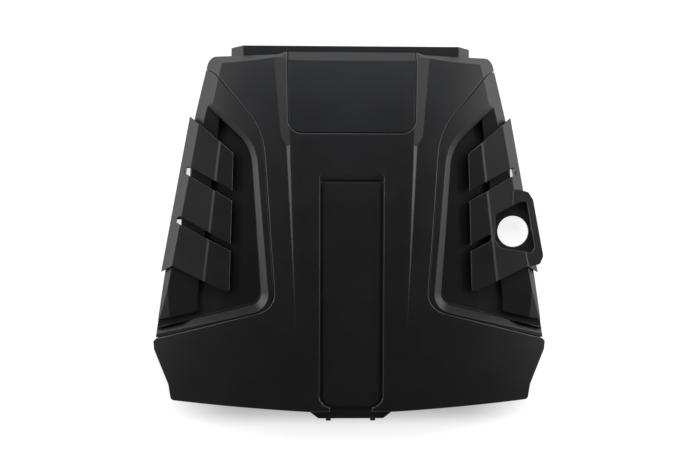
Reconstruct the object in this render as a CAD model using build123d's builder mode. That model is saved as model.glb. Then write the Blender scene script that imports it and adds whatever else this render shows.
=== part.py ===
from build123d import *
import os
from functools import lru_cache
from math import cos, hypot, radians, sin, tan

# Walls, seams and seats shared by the mouldings
WALL = 2.8
TRIM_WALL = 2.5
SEAM_GAP = 1.6
SEAT_GAP = 0.3

# Crown: flat along the middle, rolling off to both sides and falling away to the front and rear
CROWN_TOP = 80.0
CROWN_APEX_Y = 40.0
CROWN_LENGTH_RADIUS = 2480.0
CROWN_SIDE_RADIUS = 560.0
CROWN_FLAT = 75.0
CROWN_SIDE_ARC = 30.0
CROWN_HALF_ANGLE = 9.0
CROWN_BODY = 150.0

# Raised plateau along the middle, running out into the crown towards the front
PLATEAU_TOP = 82.8
PLATEAU_APEX_Y = 71.0
PLATEAU_FLAT = 80.0
PLATEAU_FALL = 3.0
PLATEAU_HALF = 93.8
PLATEAU_TOE = 1.7
PLATEAU_CREST = 1.0
PLATEAU_SLOPE = 33.0
YOKE_SLOPE = 16.5
YOKE_END = (116.0, 160.0)
YOKE_TURN = 25.0

# Plan outline, right half, from the rear middle round to the front
REAR_Y = 282.0
HUMP_HALF = 104.0
HUMP_RUN = 10.0
WING_Y = 277.8
SIDE_REAR_X = 224.0
SIDE_MID = (272.0, 60.0)
SIDE_FRONT = (308.0, -167.0)
CORNER_ROUND = 15.0
CHEEK_TOP = (312.0, -171.0)
CHEEK_BREAK = (311.0, -184.0)
CHEEK_LOW = (288.0, -239.0)
FRONT_CORNER = (284.0, -264.0)
FRONT_CORNER_ROUND = 6.0
CHIN_TOP = (66.0, -278.0)
CHIN_HALF = 51.0
CHIN_Y = -290.0

# Bevels of the outer edge
FLANK_EDGE_Z = 23.0
FLANK_TAPER = 37.0
HUMP_BEVEL_Y = 267.0
HUMP_BEVEL = 45.0
WING_BEVEL_X = 111.0
WING_BEVEL_Y = 274.0
WING_BEVEL_TILT = 54.0
WING_BEVEL_TURN = 11.5

# Rear ledge below the wings
LEDGE_Y = 295.0
LEDGE_TOP = 40.0
LEDGE_FOOT = 12.0
LEDGE_HALF = 170.0
LEDGE_FLARE = 20.0
LEDGE_ROOT_Y = 262.0

# Seam between the shell and the side panels, right half
SEAM_REAR = (250.0, 271.0)
SEAM_KNEE = (214.0, 251.5)
SEAM_ELBOW = (136.5, 158.0)
SEAM_HEEL = (117.0, -116.5)
SEAM_FRONT = (340.0, -175.2)
SEAM_ROUNDS = (20.0, 115.0, 32.0)
FLANGE = 5.0
FLANGE_ROOT = 5.0

# Badge panel, let into the rear of the plateau and turned down over the rear edge
BADGE_HALF = 100.5
BADGE_WAIST = 97.0
BADGE_FRONT_Y = 155.5
BADGE_ROUND = 21.0
BADGE_LIP_Z = 48.0

# Recess along the middle with the centre panel in it, and the chin at its front end
CENTRE_HALF = 46.5
CENTRE_REAR_Y = 81.0
CENTRE_FRONT_Y = -272.0
CENTRE_REAR_ROUND = 6.0
CENTRE_FRONT_ROUND = 18.0
CENTRE_DEPTH = 8.3
CENTRE_LEAN = 3.0
CENTRE_RIM = 4.0
CENTRE_SLOPE = 10.0
PANEL_GAP = 2.6
SLOT_HALF = 33.0
CHIN_DEPTH = 12.0

# Side panel: tapered pocket with a sloping floor and a raised outer shelf, right half
POCKET_REAR = (268.0, 243.0)
POCKET_ELBOW = (155.8, 133.2)
POCKET_HEEL = (139.1, -107.3)
POCKET_FRONT = (350.0, -163.0)
POCKET_ROUND = 70.0
POCKET_HEEL_ROUND = 18.0
POCKET_LEVEL = 66.0
POCKET_FOOT = 10.0
POCKET_TAPER = 3.0
RIM_REAR = 6.0
RIM_ELBOW = 8.5
RIM_HEEL = 11.5
RIM_FRONT = 5.5
RIM_STEEPNESS = 0.9
RIM_OVERRUN = 2.0
RIM_STATIONS = (0.0, 0.25, 0.5, 0.75, 1.0)
FLOOR_POINT = (150.0, 0.0, 38.0)
FLOOR_FALL = 0.12
FLOOR_RISE = 0.0
SHELF_REAR = (203.0, 200.0)
SHELF_FRONT = (241.0, -100.0)
SHELF_TOE = (241.0, -123.0)
SHELF_TOE_FALL = 0.21
SHELF_POINT = (250.0, 60.0, 40.8)
SHELF_FALL = 0.03
SHELF_RISE = 0.033

# Louvre: a folded face in three fins, right half; each section runs from the inner edge outwards
FIN_REAR = (270.0, 198.0)
FIN_REAR_INNER = (184.0, 124.9)
FIN_FRONT_INNER = (190.5, -93.6)
FIN_FRONT_KNEE = (279.5, -51.0)
FIN_FRONT = (330.0, -76.7)
FIN_ROUND = 5.0
FIN_LIP = 8.0
FIN_SECTIONS = (
    (200.0, (170.0, 53.0), (196.0, 57.8), (200.0, 56.3), (232.6, 51.8), (250.6, 32.3), 24.0),
    (-100.0, (175.0, 46.5), (231.0, 51.0), (235.0, 49.5), (289.6, 41.0), (306.5, 22.5), 14.5),
)
REAR_SLIT = ((170.0, 58.4), (256.0, 105.3), (264.0, 96.0), (170.0, 41.5))
FRONT_SLIT = ((170.0, -27.4), (268.0, 27.0), (278.0, 19.0), (170.0, -37.3))
SHORT_SLIT = ((170.0, -27.4), (220.0, 0.4), (220.0, -11.2), (170.0, -37.3))
SLIT_ROUND = 3.0

# Filler collar on the right louvre, with its sunk floor and round hole
FILLER_X = 258.0
FILLER_Y = 4.0
FILLER_RADIUS = 24.6
FILLER_FLOOR_Z = 30.0
FILLER_WELL = (
    (226.5, 30.0),
    (266.0, 50.0),
    (278.0, 51.0),
    (291.5, -22.0),
    (286.0, -30.0),
    (236.0, -22.5),
    (226.5, -10.0),
)
FILLER_WELL_ROUND = 5.0
COLLAR = ((255.0, 72.0), (280.0, 66.0), (288.0, 54.0), (305.5, -35.0), (300.0, -48.0), (255.0, -58.0))
COLLAR_ROUND = 6.0
COLLAR_POINT = (262.0, 0.0, 45.6)
COLLAR_FALL = 0.15
COLLAR_RISE = 0.033
COLLAR_FOOT_Z = 20.0
FILLER_ROOM = 3.0

# Windows in the shelf under the outer ends of the slits
WINDOW_WIDTH = 9.0
WINDOW_LENGTH = 13.0
WINDOW_REAR = (256.5, 96.0)
WINDOW_FRONT = (270.5, 15.0)

# Heat-staked tabs that hold the trim pieces
TAB_WIDTH = 7.0
TAB_THICK = 2.4
TAB_PLAY = 0.3
TAB_HEAD = 2.0
TAB_HEAD_LIP = 1.6
TAB_LUG = 3.0
BADGE_TABS = ((70.0, 245.0), (70.0, 178.0))
CENTRE_TABS = ((0.0, 50.0), (0.0, -130.0))
SIDE_TABS = ((195.0, 212.0), (172.0, 186.0), (285.0, -155.2))
POST_WALL = 1.2
LOUVRE_POSTS = ((232.0, 140.0), (243.0, 62.0), (262.0, -44.0))

# Lower edge: arches in the front wall, and the locating tongues of the chin
ARCH_HALF = 232.0
ARCH_FLARE = 18.0
ARCH_RISE = 14.0
TONGUE_X = 35.0
TONGUE_WIDTH = 8.0
TONGUE_THICK = 5.0
TONGUE_Y = -295.0
TONGUE_Z = 34.0

# Stiffening ribs under the front and rear wings
RIB_THICK = 2.0
RIB_DEPTH = 10.0
RIB_LOW_Z = 15.0
RIB_START = 105.0
RIB_END = 300.0
FRONT_RIB_Y = -205.0
FRONT_RIBS_X = (110.0, 195.0, 245.0)
FRONT_RIBS_FROM = -275.0
FRONT_RIBS_TO = -130.0
REAR_RIB_Y = 238.0
REAR_RIB_X = 122.0
REAR_RIB_FROM = 165.0
REAR_RIB_TO = 275.0

# Ball stud holders and their rubber grommets
STUDS_FRONT = (150.0, -205.0)
STUDS_REAR = (155.0, 238.0)
HOLDER_HALF = 15.0
HOLDER_WALL = 2.6
HOLDER_PLATE = 2.8
HOLDER_PLATE_Z = 9.0
GROMMET_NECK = 7.0
GROMMET_FLANGE = 11.0
GROMMET_HEAD = 9.5
GROMMET_FOOT_Z = 2.5
GROMMET_TOP_Z = 19.0
GROMMET_PLAY = 0.15
GROMMET_CAP = 6.5
SOCKET_RADIUS = 4.3
SOCKET_LENGTH = 12.0

# Acoustic foam pad under the middle
PAD_HALF = 92.0
PAD_REAR_Y = 72.0
PAD_FRONT_Y = -232.0
PAD_THICK = 12.0
PAD_HOLE = 3.0
PAD_ROUND = 15.0

# Depth at which the trim pieces seat on the shell
TRIM_SEAT = TRIM_WALL + SEAT_GAP

# Drop of a hollow form's foot per wall, so that it stays open below
OPEN_FOOT = 3.0

# Reach of the cutting tools beyond the part
REACH = 60.0
FLANK_RUNOUT = 180.0


def flipped(part):
    """Mirror image of a right-hand solid."""
    return mirror(part, about=Plane.YZ, mode=Mode.PRIVATE)


def crown_height(x, y):
    """Height of the crowned outer surface above the floor at a plan position."""
    roll = max(abs(x) - CROWN_FLAT, 0.0)
    drop = CROWN_SIDE_RADIUS - (CROWN_SIDE_RADIUS**2 - roll**2) ** 0.5
    swing = CROWN_LENGTH_RADIUS - drop
    return CROWN_TOP - CROWN_LENGTH_RADIUS + (swing**2 - (y - CROWN_APEX_Y) ** 2) ** 0.5


def arch_plane(pivot_x, apex_y, top, toe=0.0):
    """Sketch plane at the front end of the long arch, with its origin on the arch."""
    along = Vector(-sin(radians(toe)), cos(radians(toe)), 0)
    lean = radians(CROWN_HALF_ANGLE)
    start = Vector(pivot_x, apex_y, top - CROWN_LENGTH_RADIUS)
    rise = Vector(0, 0, 1)
    origin = start - along * CROWN_LENGTH_RADIUS * sin(lean) + rise * CROWN_LENGTH_RADIUS * cos(lean)
    return Plane(
        origin=origin,
        x_dir=(cos(radians(toe)), sin(radians(toe)), 0),
        z_dir=along * -cos(lean) - rise * sin(lean),
    )


def arch_axis(pivot_x, apex_y, top, toe=0.0):
    """Axis of the long arch, turned in plan by the toe angle."""
    return Axis(
        (pivot_x, apex_y, top - CROWN_LENGTH_RADIUS),
        (-cos(radians(toe)), -sin(radians(toe)), 0),
    )


def crown_block(depth):
    """Solid under the crowned surface, lowered by a depth."""
    with BuildPart() as block:
        with BuildSketch(arch_plane(0, CROWN_APEX_Y, CROWN_TOP)):
            with BuildLine():
                flat = Line((0, -depth), (CROWN_FLAT, -depth))
                roll = JernArc(flat @ 1, (1, 0), CROWN_SIDE_RADIUS - depth, -CROWN_SIDE_ARC)
                Polyline(roll @ 1, ((roll @ 1).X, -CROWN_BODY), (0, -CROWN_BODY))
                mirror(about=Plane.YZ)
            make_face()
        revolve(axis=arch_axis(0, CROWN_APEX_Y, CROWN_TOP), revolution_arc=2 * CROWN_HALF_ANGLE)
    return block.part


def plateau_roof(depth):
    """Solid under the plateau surface, with a faint crease on both sides of its flat."""
    fall = (SIDE_FRONT[0] - PLATEAU_FLAT) * tan(radians(PLATEAU_FALL))
    with BuildPart() as block:
        with BuildSketch(arch_plane(0, PLATEAU_APEX_Y, PLATEAU_TOP)):
            with BuildLine():
                Polyline(
                    (0, -CROWN_BODY),
                    (0, -depth),
                    (PLATEAU_FLAT, -depth),
                    (SIDE_FRONT[0], -depth - fall),
                    (SIDE_FRONT[0], -CROWN_BODY),
                    (0, -CROWN_BODY),
                )
            make_face()
            mirror(about=Plane.YZ)
        revolve(axis=arch_axis(0, PLATEAU_APEX_Y, PLATEAU_TOP), revolution_arc=2 * CROWN_HALF_ANGLE)
    return block.part


def plateau_side(depth, slope):
    """Solid inside a slope that leaves the plateau's right crest, which toes in towards the front."""
    run = 1 / tan(radians(slope))
    shift = depth / sin(radians(slope))
    with BuildPart() as block:
        with BuildSketch(arch_plane(PLATEAU_HALF, PLATEAU_APEX_Y, PLATEAU_TOP, -PLATEAU_TOE)):
            with BuildLine():
                Polyline(
                    (-2 * SIDE_FRONT[0], -CROWN_BODY),
                    ((CROWN_BODY - PLATEAU_CREST) * run - shift, -CROWN_BODY),
                    (-(REACH + PLATEAU_CREST) * run - shift, REACH),
                    (-2 * SIDE_FRONT[0], REACH),
                    (-2 * SIDE_FRONT[0], -CROWN_BODY),
                )
            make_face()
        revolve(
            axis=arch_axis(PLATEAU_HALF, PLATEAU_APEX_Y, PLATEAU_TOP, -PLATEAU_TOE),
            revolution_arc=2 * CROWN_HALF_ANGLE,
        )
    return block.part


def ridge_block(depth, slope):
    """Solid under the plateau surface between the right slope and its mirror image."""
    with BuildPart() as block:
        add(plateau_roof(depth))
        add(plateau_side(depth, slope), mode=Mode.INTERSECT)
        add(flipped(plateau_side(depth, slope)), mode=Mode.INTERSECT)
    return block.part


def yoke_block(depth):
    """Solid under the broad slopes beside the rear half of the plateau."""
    lean = radians(PLATEAU_SLOPE)
    turn = radians(YOKE_TURN)
    with BuildPart() as block:
        add(ridge_block(depth, YOKE_SLOPE))
        for side in (1, -1):
            foot = Vector(side * YOKE_END[0], YOKE_END[1], crown_height(*YOKE_END))
            normal = Vector(side * cos(turn) * sin(lean), -sin(turn) * sin(lean), cos(lean))
            split(bisect_by=Plane(foot, z_dir=normal).offset(-depth), keep=Keep.BOTTOM)
    return block.part


def plan_sketch(inset):
    """Plan outline of the whole cover, moved inwards by an inset."""
    with BuildSketch() as plan:
        with BuildLine():
            Polyline(
                (0, REAR_Y),
                (HUMP_HALF, REAR_Y),
                (HUMP_HALF + HUMP_RUN, WING_Y),
                (SIDE_REAR_X, WING_Y),
            )
            ThreePointArc((SIDE_REAR_X, WING_Y), SIDE_MID, SIDE_FRONT)
            Polyline(
                SIDE_FRONT,
                CHEEK_TOP,
                CHEEK_BREAK,
                CHEEK_LOW,
                FRONT_CORNER,
                CHIN_TOP,
                (CHIN_HALF, CHIN_Y),
                (0, CHIN_Y),
                (0, REAR_Y),
            )
        make_face()
        wing_tip = plan.vertices().sort_by_distance((SIDE_REAR_X, WING_Y))[0]
        fillet(wing_tip, CORNER_ROUND)
        front_tip = plan.vertices().sort_by_distance(FRONT_CORNER)[0]
        fillet(front_tip, FRONT_CORNER_ROUND)
        mirror(about=Plane.YZ)
        if inset != 0:
            offset(amount=-inset, kind=Kind.INTERSECTION)
    return plan.sketch


def flank_block(depth):
    """Solid inside the long bevels of both sides."""
    taper = radians(FLANK_TAPER)
    spread = (FLANK_EDGE_Z + REACH) * tan(taper) - depth / cos(taper)
    with BuildPart() as block:
        with BuildSketch(Plane.XY.offset(-REACH)):
            with BuildLine():
                side = ThreePointArc((SIDE_REAR_X, WING_Y), SIDE_MID, SIDE_FRONT)
                rear = Line(side @ 0, side @ 0 - (side % 0) * REACH)
                front = Line(side @ 1, side @ 1 + (side % 1) * FLANK_RUNOUT)
                Polyline(rear @ 1, (0, (rear @ 1).Y), (0, (front @ 1).Y), front @ 1)
            make_face()
            mirror(about=Plane.YZ)
            offset(amount=spread)
        extrude(amount=2 * REACH + CROWN_TOP, taper=FLANK_TAPER)
    return block.part


def ledge_block(depth):
    """Rear ledge with flared ends, open below once it is moved inwards."""
    rise = LEDGE_TOP - LEDGE_FOOT
    shift = depth * hypot(rise, LEDGE_FLARE) / rise
    top = LEDGE_HALF + LEDGE_FLARE * depth / rise - shift
    foot = LEDGE_HALF + LEDGE_FLARE * (rise + depth) / rise - shift
    with BuildPart() as block:
        with BuildSketch(Plane.XZ.offset(-LEDGE_ROOT_Y)):
            with BuildLine():
                Polyline(
                    (foot, LEDGE_FOOT - depth),
                    (top, LEDGE_TOP - depth),
                    (-top, LEDGE_TOP - depth),
                    (-foot, LEDGE_FOOT - depth),
                    close=True,
                )
            make_face()
        extrude(amount=-(LEDGE_Y - LEDGE_ROOT_Y - depth))
    return block.part


@lru_cache(maxsize=None)
def envelope(depth):
    """Outer form of the whole cover, moved inwards by a depth."""
    lean = radians(WING_BEVEL_TILT)
    turn = radians(WING_BEVEL_TURN)
    brow_drop = (HUMP_BEVEL_Y - PLATEAU_APEX_Y) ** 2 / (2 * CROWN_LENGTH_RADIUS)
    brow = Vector(0, HUMP_BEVEL_Y, PLATEAU_TOP - brow_drop)
    brow_normal = Vector(0, sin(radians(HUMP_BEVEL)), cos(radians(HUMP_BEVEL)))
    with BuildPart() as body:
        add(crown_block(depth))
        add(ridge_block(depth, PLATEAU_SLOPE))
        add(yoke_block(depth))
        split(bisect_by=Plane(brow, z_dir=brow_normal).offset(-depth), keep=Keep.BOTTOM)
        for side in (1, -1):
            edge = Vector(side * WING_BEVEL_X, WING_BEVEL_Y, crown_height(WING_BEVEL_X, WING_BEVEL_Y))
            normal = Vector(side * sin(turn) * sin(lean), cos(turn) * sin(lean), cos(lean))
            split(bisect_by=Plane(edge, z_dir=normal).offset(-depth), keep=Keep.BOTTOM)
        add(flank_block(depth), mode=Mode.INTERSECT)
    with BuildPart() as prism:
        with BuildSketch(Plane.XY.offset(-depth)):
            add(plan_sketch(depth))
        extrude(amount=CROWN_TOP + REACH)
    with BuildPart() as whole:
        add(body.part)
        add(prism.part, mode=Mode.INTERSECT)
        add(ledge_block(depth))
    return whole.part


def prism(outline, low, high):
    """Upright solid on a plan outline between two levels."""
    with BuildPart() as block:
        with BuildSketch(Plane.XY.offset(low)):
            add(outline)
        extrude(amount=high - low)
    return block.part


def layer(outline, top, bottom, low=0.0):
    """Part of the skin between two depths that lies over a plan outline."""
    with BuildPart() as skin:
        add(envelope(top))
        add(envelope(bottom), mode=Mode.SUBTRACT)
        add(prism(outline, low, CROWN_TOP + REACH), mode=Mode.INTERSECT)
    return skin.part


def overburden(outline, depth, low=-REACH):
    """Everything above a depth of the skin over a plan outline."""
    with BuildPart() as tool:
        add(prism(outline, low, CROWN_TOP + REACH))
        add(envelope(depth), mode=Mode.SUBTRACT)
    return tool.part


def roof_tool(outline, depth):
    """Everything above a depth of the crown and plateau over a plan outline near the middle."""
    with BuildPart() as tool:
        add(prism(outline, 0, CROWN_TOP + REACH))
        add(crown_block(depth), mode=Mode.SUBTRACT)
        add(plateau_roof(depth), mode=Mode.SUBTRACT)
    return tool.part


def roof_slab(outline, top, thick):
    """Slab of a thickness whose top follows the crown and plateau at a depth, over a plan outline."""
    with BuildPart() as slab:
        add(prism(outline, 0, CROWN_TOP + REACH))
        add(roof_tool(outline, top), mode=Mode.SUBTRACT)
        add(crown_block(top + thick), mode=Mode.SUBTRACT)
        add(plateau_roof(top + thick), mode=Mode.SUBTRACT)
    return slab.part


def roof_layer(outline, bottom):
    """Thickening under the crown and plateau over a plan outline, down to a depth."""
    with BuildPart() as skin:
        add(envelope(WALL / 2))
        add(crown_block(bottom), mode=Mode.SUBTRACT)
        add(plateau_roof(bottom), mode=Mode.SUBTRACT)
        add(prism(outline, 0, CROWN_TOP + REACH), mode=Mode.INTERSECT)
    return skin.part


def side_sketch(grow):
    """Plan region of the right side panel, bounded by its seam."""
    with BuildSketch() as region:
        with BuildLine():
            FilletPolyline(SEAM_REAR, SEAM_KNEE, SEAM_ELBOW, SEAM_HEEL, SEAM_FRONT, radius=SEAM_ROUNDS)
            Polyline(SEAM_FRONT, (SEAM_FRONT[0], SEAM_REAR[1]), SEAM_REAR)
        make_face()
        if grow != 0:
            offset(amount=grow)
    return region.sketch


def badge_sketch(grow):
    """Plan outline of the badge panel, open towards the rear."""
    with BuildSketch() as region:
        with BuildLine():
            FilletPolyline(
                (0, LEDGE_Y + REACH),
                (BADGE_HALF, LEDGE_Y + REACH),
                (BADGE_WAIST, BADGE_FRONT_Y),
                (0, BADGE_FRONT_Y),
                radius=(0, BADGE_ROUND),
            )
            Line((0, BADGE_FRONT_Y), (0, LEDGE_Y + REACH))
        make_face()
        mirror(about=Plane.YZ)
        if grow != 0:
            offset(amount=grow)
    return region.sketch


def centre_sketch(rim, slope, grow):
    """Plan outline of the centre recess, widened to its rim and lengthened by the slope of its rear end."""
    half = CENTRE_HALF + rim
    rear_y = CENTRE_REAR_Y + slope
    with BuildSketch() as region:
        with BuildLine():
            FilletPolyline(
                (0, rear_y),
                (half, rear_y),
                (half, CENTRE_FRONT_Y),
                (0, CENTRE_FRONT_Y),
                radius=(CENTRE_REAR_ROUND, CENTRE_FRONT_ROUND + rim),
            )
            Line((0, CENTRE_FRONT_Y), (0, rear_y))
        make_face()
        mirror(about=Plane.YZ)
        if grow != 0:
            offset(amount=grow)
    return region.sketch


def centre_slope(depth):
    """Plane of the slope at the rear end of the centre recess, moved inwards by a depth."""
    foot = Vector(0, CENTRE_REAR_Y, PLATEAU_TOP - CENTRE_DEPTH)
    return Plane(foot, x_dir=(1, 0, 0), z_dir=(0, -CENTRE_DEPTH, CENTRE_SLOPE)).offset(-depth)


def centre_tool():
    """Volume of the centre recess inside its leaning walls and its sloped rear end."""
    low = CENTRE_HALF - CENTRE_LEAN
    high = CENTRE_HALF + 2 * CENTRE_LEAN
    with BuildPart() as tool:
        with BuildSketch(arch_plane(0, PLATEAU_APEX_Y, PLATEAU_TOP)):
            with BuildLine():
                Polyline(
                    (low, -2 * CENTRE_DEPTH),
                    (high, CENTRE_DEPTH),
                    (-high, CENTRE_DEPTH),
                    (-low, -2 * CENTRE_DEPTH),
                    close=True,
                )
            make_face()
        revolve(axis=arch_axis(0, PLATEAU_APEX_Y, PLATEAU_TOP), revolution_arc=2 * CROWN_HALF_ANGLE)
        split(bisect_by=centre_slope(0), keep=Keep.TOP)
        add(roof_tool(centre_sketch(CENTRE_RIM, CENTRE_SLOPE, 0), CENTRE_DEPTH), mode=Mode.INTERSECT)
    return tool.part


def centre_bed():
    """Floor and walls of the centre recess under the roof."""
    with BuildPart() as bed:
        add(roof_layer(centre_sketch(CENTRE_RIM, CENTRE_SLOPE, WALL), CENTRE_DEPTH + WALL))
        split(bisect_by=centre_slope(WALL), keep=Keep.TOP)
    return bed.part


def chin_sketch(grow):
    """Plan outline of the lowered chin and of the slot that leads to it."""
    with BuildSketch() as region:
        with Locations((0, CHIN_TOP[1] - REACH / 2)):
            Rectangle(2 * CHIN_TOP[0] + REACH, REACH)
        with Locations((0, CHIN_TOP[1])):
            Rectangle(2 * SLOT_HALF, 2 * (CENTRE_FRONT_ROUND + CHIN_TOP[1] - CENTRE_FRONT_Y))
        if grow != 0:
            offset(amount=grow, kind=Kind.INTERSECTION)
    return region.sketch


def plane_through(x, y, z, fall_x, fall_y):
    """Sloping plane through a point, given its fall to the right and its rise to the rear."""
    return Plane((x, y, z), z_dir=(fall_x, -fall_y, 1))


def below(plane, outline, low=-REACH):
    """Solid on a plan outline that ends at a sloping plane."""
    with BuildPart() as block:
        add(prism(outline, low, CROWN_TOP + REACH))
        split(bisect_by=plane, keep=Keep.BOTTOM)
    return block.part


def pocket_line():
    """Plan line along the inner rim of the right pocket, from the rear round to the front."""
    with BuildLine() as rim:
        FilletPolyline(
            POCKET_REAR,
            POCKET_ELBOW,
            POCKET_HEEL,
            POCKET_FRONT,
            radius=(POCKET_ROUND, POCKET_HEEL_ROUND),
        )
    return rim.line


def pocket_sketch(grow):
    """Plan outline of the right pocket at its reference level, open to the side."""
    with BuildSketch() as region:
        with BuildLine():
            add(pocket_line())
            Polyline(POCKET_FRONT, (POCKET_FRONT[0], POCKET_REAR[1]), POCKET_REAR)
        make_face()
        if grow != 0:
            offset(amount=grow)
    return region.sketch


def rim_stretch(edge, first, last, depth):
    """Volume over one stretch of the bevelled rim, its width running from a first value to a last one."""
    up = Vector(0, 0, 1)
    with BuildPart() as stretch:
        for share in RIM_STATIONS:
            place = edge @ share
            away = (edge % share).cross(up)
            width = first + (last - first) * share
            far = place + away * width
            low = crown_height(place.X, place.Y) - RIM_STEEPNESS * width
            rise = crown_height(far.X, far.Y) - low
            size = hypot(width, rise)
            extra = (RIM_OVERRUN + abs(depth)) / size
            start = (depth * rise / size - extra * width, low - depth * width / size - extra * rise)
            end = (start[0] + (1 + 2 * extra) * width, start[1] + (1 + 2 * extra) * rise)
            with BuildSketch(Plane(place, x_dir=away, z_dir=away.cross(up))):
                with BuildLine():
                    Polyline(start, end, (start[0], end[1] + RIM_OVERRUN), close=True)
                make_face()
        loft()
    return stretch.part


def rim_flare(depth):
    """Volume over the bevelled rim of the right pocket, moved inwards by a depth."""
    widths = (RIM_REAR, RIM_ELBOW, RIM_ELBOW, RIM_HEEL, RIM_HEEL, RIM_FRONT)
    with BuildPart() as flare:
        edges = pocket_line().edges().sort_by(Axis.Y, reverse=True)
        for edge, first, last in zip(edges, widths[:-1], widths[1:]):
            add(rim_stretch(edge, first, last, depth))
    return flare.part


def pocket_block(depth):
    """Volume of the right pocket inside its steep walls and bevelled rim, down to below its floor."""
    taper = radians(POCKET_TAPER)
    narrowing = (POCKET_LEVEL - POCKET_FOOT) * tan(taper)
    with BuildPart() as block:
        with BuildSketch(Plane.XY.offset(POCKET_FOOT)):
            add(pocket_sketch(depth / cos(taper) - narrowing))
        extrude(amount=CROWN_TOP, taper=-POCKET_TAPER)
        add(rim_flare(depth))
    return block.part


def shelf_sketch(inset):
    """Plan outline of the raised outer shelf in the right pocket."""
    with BuildSketch() as region:
        with BuildLine():
            Polyline(
                SHELF_REAR,
                SHELF_FRONT,
                SHELF_TOE,
                (POCKET_FRONT[0], SHELF_TOE[1] - SHELF_TOE_FALL * (POCKET_FRONT[0] - SHELF_TOE[0])),
                (POCKET_FRONT[0], POCKET_REAR[1]),
                (SHELF_REAR[0], POCKET_REAR[1]),
                close=True,
            )
        make_face()
        if inset != 0:
            offset(amount=-inset, kind=Kind.INTERSECTION)
    return region.sketch


def side_form(depth):
    """Form of the right side panel, moved inwards by a depth."""
    with BuildSketch() as everywhere:
        with Locations((SEAM_FRONT[0], 0)):
            Rectangle(2 * SEAM_FRONT[0], 4 * SEAM_FRONT[0])
    floor = plane_through(*FLOOR_POINT, FLOOR_FALL, FLOOR_RISE).offset(-depth)
    shelf = plane_through(*SHELF_POINT, SHELF_FALL, SHELF_RISE).offset(-depth)
    with BuildPart() as hollow:
        add(pocket_block(depth))
        add(below(floor, everywhere.sketch), mode=Mode.SUBTRACT)
        add(below(shelf, shelf_sketch(depth)), mode=Mode.SUBTRACT)
    with BuildPart() as form:
        add(envelope(depth))
        add(hollow.part, mode=Mode.SUBTRACT)
        add(prism(everywhere.sketch, -2 * REACH, CROWN_TOP + 2 * REACH), mode=Mode.INTERSECT)
    return form.part


def well_sketch(grow):
    """Plan outline of the sunk filler floor."""
    with BuildSketch() as region:
        with BuildLine():
            Polyline(*FILLER_WELL, close=True)
        make_face()
        fillet(region.vertices(), FILLER_WELL_ROUND)
        if grow != 0:
            offset(amount=grow)
    return region.sketch


def side_panel(with_filler):
    """Right side panel: frame band, sloped pocket walls, floor, shelf and outer wall."""
    with BuildSketch() as openings:
        with Locations(WINDOW_REAR):
            Rectangle(WINDOW_WIDTH, WINDOW_LENGTH)
        if with_filler:
            add(well_sketch(TRIM_WALL + FILLER_ROOM))
        else:
            with Locations(WINDOW_FRONT):
                Rectangle(WINDOW_WIDTH, WINDOW_LENGTH)
        with Locations(*LOUVRE_POSTS):
            Rectangle(TAB_WIDTH + 2 * TAB_PLAY, TAB_THICK + 2 * TAB_PLAY)
    with BuildPart() as panel:
        add(side_form(0))
        add(side_form(TRIM_WALL), mode=Mode.SUBTRACT)
        add(prism(side_sketch(-SEAM_GAP), -REACH, CROWN_TOP + REACH), mode=Mode.INTERSECT)
        add(prism(openings.sketch, -REACH, CROWN_TOP + REACH), mode=Mode.SUBTRACT)
    return panel.part


def fin_sketch(inset):
    """Plan outline of the right louvre without its slits."""
    with BuildSketch() as region:
        with BuildLine():
            FilletPolyline(
                FIN_REAR,
                FIN_REAR_INNER,
                FIN_FRONT_INNER,
                FIN_FRONT_KNEE,
                FIN_FRONT,
                radius=(FIN_ROUND, FIN_ROUND, 0),
            )
            Polyline(FIN_FRONT, (FIN_FRONT[0], FIN_REAR[1]), FIN_REAR)
        make_face()
        if inset != 0:
            offset(amount=-inset, kind=Kind.INTERSECTION)
    return region.sketch


def slit_sketch(grow, with_filler):
    """Plan outlines of the slits between the fins; the front one ends short beside the filler."""
    with BuildSketch() as region:
        for rear_in, rear_out, front_out, front_in in (REAR_SLIT, SHORT_SLIT if with_filler else FRONT_SLIT):
            with BuildLine():
                FilletPolyline(rear_in, rear_out, front_out, front_in, radius=SLIT_ROUND)
                Line(front_in, rear_in)
            make_face()
        if grow != 0:
            offset(amount=grow)
    return region.sketch


def fin_loft(depth):
    """Long solid under the folded face of the right louvre, moved inwards by a depth."""
    with BuildPart() as block:
        for y, inner, crest, crease, shoulder, outer, foot in FIN_SECTIONS:
            with BuildSketch(Plane.XZ.offset(-y)):
                with BuildLine():
                    Polyline(
                        (inner[0], foot - OPEN_FOOT * depth),
                        inner,
                        crest,
                        crease,
                        shoulder,
                        outer,
                        (outer[0], foot - OPEN_FOOT * depth),
                        close=True,
                    )
                make_face()
                if depth > 0:
                    offset(amount=-depth, kind=Kind.INTERSECTION)
        loft(ruled=True)
    return block.part


def collar_block(depth):
    """Filler collar beside the middle fin, moved inwards by a depth."""
    with BuildSketch() as region:
        with BuildLine():
            Polyline(*COLLAR, close=True)
        make_face()
        fillet(region.vertices(), COLLAR_ROUND)
        if depth != 0:
            offset(amount=-depth)
    face = plane_through(*COLLAR_POINT, COLLAR_FALL, COLLAR_RISE).offset(-depth)
    return below(face, region.sketch, COLLAR_FOOT_Z - OPEN_FOOT * depth)


def louvre_form(depth, with_filler):
    """Form of the right louvre, moved inwards by a depth."""
    with BuildPart() as form:
        add(fin_loft(depth))
        add(prism(fin_sketch(depth), -2 * REACH, CROWN_TOP + REACH), mode=Mode.INTERSECT)
        add(prism(slit_sketch(depth, with_filler), -2 * REACH, CROWN_TOP + REACH), mode=Mode.SUBTRACT)
        if with_filler:
            add(collar_block(depth))
            add(prism(well_sketch(depth), FILLER_FLOOR_Z - depth, CROWN_TOP + REACH), mode=Mode.SUBTRACT)
    return form.part


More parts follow.
